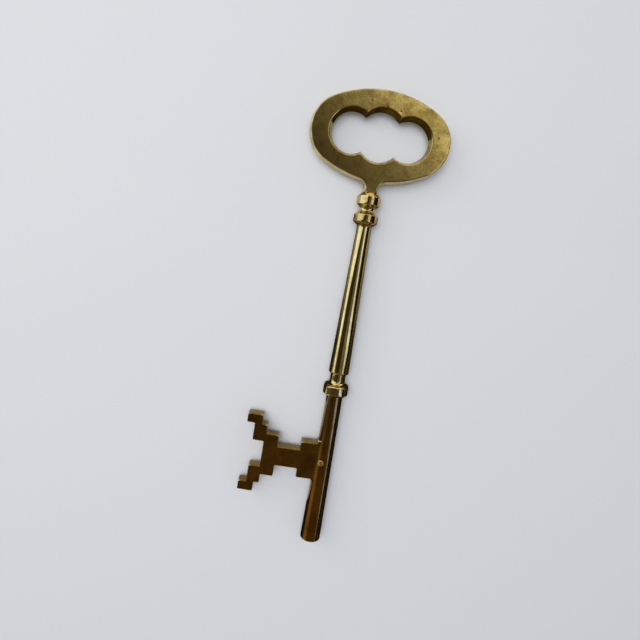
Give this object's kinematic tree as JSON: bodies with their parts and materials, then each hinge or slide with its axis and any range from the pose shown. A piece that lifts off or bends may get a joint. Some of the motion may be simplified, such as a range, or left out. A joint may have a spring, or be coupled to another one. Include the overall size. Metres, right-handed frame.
{
  "type": "decorative skeleton key",
  "caption": "Large decorative skeleton key with a pierced oval bow, turned collars on a tapered shank and a stepped bit.",
  "frame": {"origin": "centre of the tip's flat end face, on the shank's axis", "axes": "+Y along the shank from the tip to the bow; -X towards the bit; +Z out of the front face, so the key lies on its back"},
  "size_m": [0.0845, 0.254, 0.014],
  "materials": {
    "bow_brass": "satin, cloudy with tarnish",
    "collar_brass": "polished, aged",
    "upper_shank_brass": "polished, aged",
    "lower_shank_brass": "polished, darkened with age",
    "bit_brass": "satin, darkened with age",
    "stud_brass": "turned, unpolished",
    "pin_brass": "polished, aged"
  },
  "bodies": {
    "root": {"bow": "bow_brass", "bow_stud": "stud_brass", "top_collar": "collar_brass", "cove_spacer": "collar_brass", "second_collar": "collar_brass", "upper_shank": "upper_shank_brass", "neck_ring": "collar_brass", "middle_collar": "collar_brass", "shank_stud": "stud_brass", "lower_shank": "lower_shank_brass", "bit": "bit_brass", "bit_pin": "pin_brass"}
  },
  "joints": []
}
